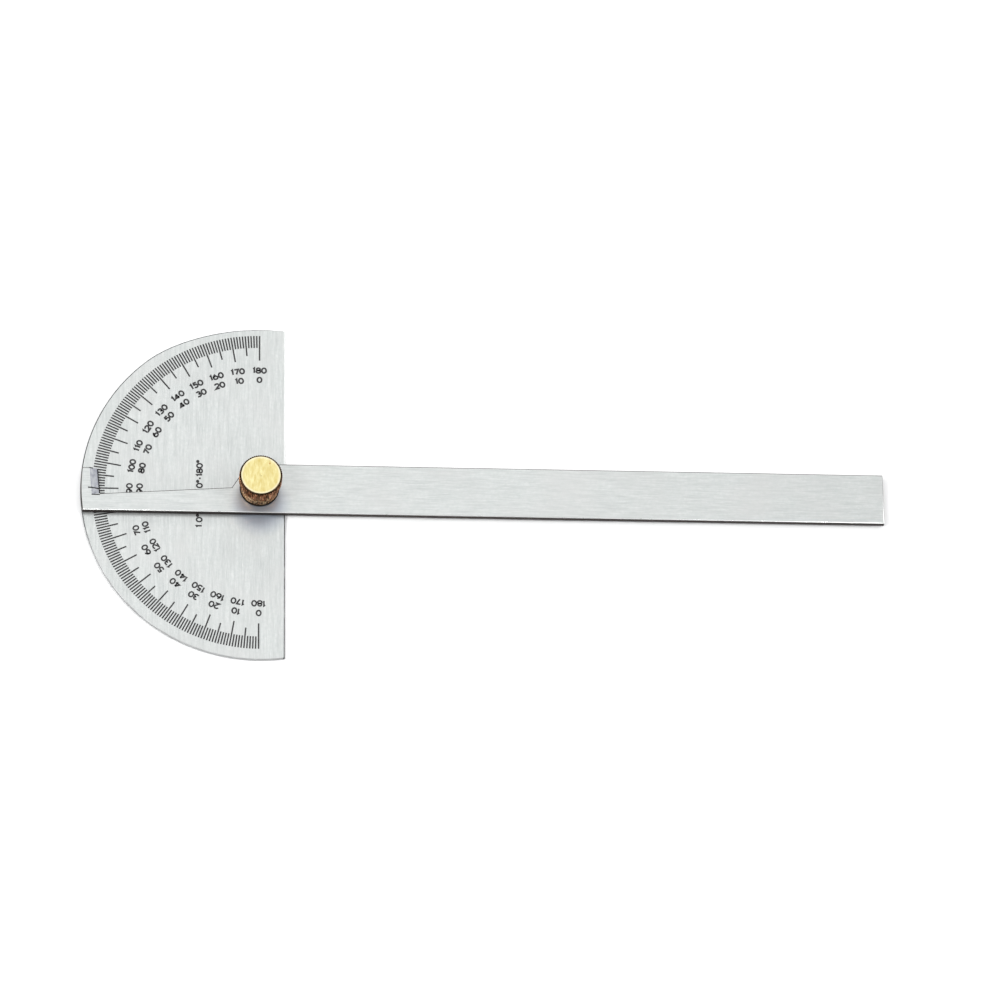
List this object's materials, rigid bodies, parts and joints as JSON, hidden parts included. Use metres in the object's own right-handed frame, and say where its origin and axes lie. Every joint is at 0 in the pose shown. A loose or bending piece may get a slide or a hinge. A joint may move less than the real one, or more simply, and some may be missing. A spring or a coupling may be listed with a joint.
{
  "type": "protractor",
  "caption": "Flat half-round steel protractor head with an etched degree scale, a long flat arm that turns about its centre, and a knurled brass knob that clamps the arm.",
  "frame": {"origin": "on the arm's pivot axis, in the plane of the head's flat underside, at the centre of the stud's flush head", "axes": "+X along the arm to its free end, with the arm at 90 degrees on the scale; +Y along the head's straight edge, towards 0 on the inner row of numbers; +Z out of the graduated face"},
  "size_m": [0.2023, 0.0883, 0.0123],
  "materials": {
    "head_steel": "satin stainless sheet, brushed across the head, etched marks filled black",
    "arm_steel": "satin stainless bar, brushed along its length",
    "stud_steel": "turned steel",
    "washer_steel": "dark steel",
    "knob_brass": "turned brass, straight knurl"
  },
  "bodies": {
    "head": {"head_plate": "head_steel", "pivot_stud": "stud_steel"},
    "arm": {"arm": "arm_steel"},
    "washer": {"knob_washer": "washer_steel"},
    "knob": {"clamp_knob": "knob_brass"}
  },
  "joints": [
    {"name": "arm_swing", "type": "hinge", "parent": "head", "child": "arm", "pos_m": [0, 0, 0.0021], "axis": [0, 0, 1], "range_deg": [-90, 90]},
    {"name": "knob_lift", "type": "slide", "parent": "head", "child": "washer", "axis": [0, 0, 1], "range_m": [0, 0.0014]},
    {"name": "knob_spin", "type": "hinge", "parent": "washer", "child": "knob", "pos_m": [0, 0, 0.0039], "axis": [0, 0, 1], "range_deg": [0, 720]}
  ],
  "couplings": [
    {"joint": "knob_spin", "follows": "knob_lift", "rad_per_m": 8975.9}
  ]
}
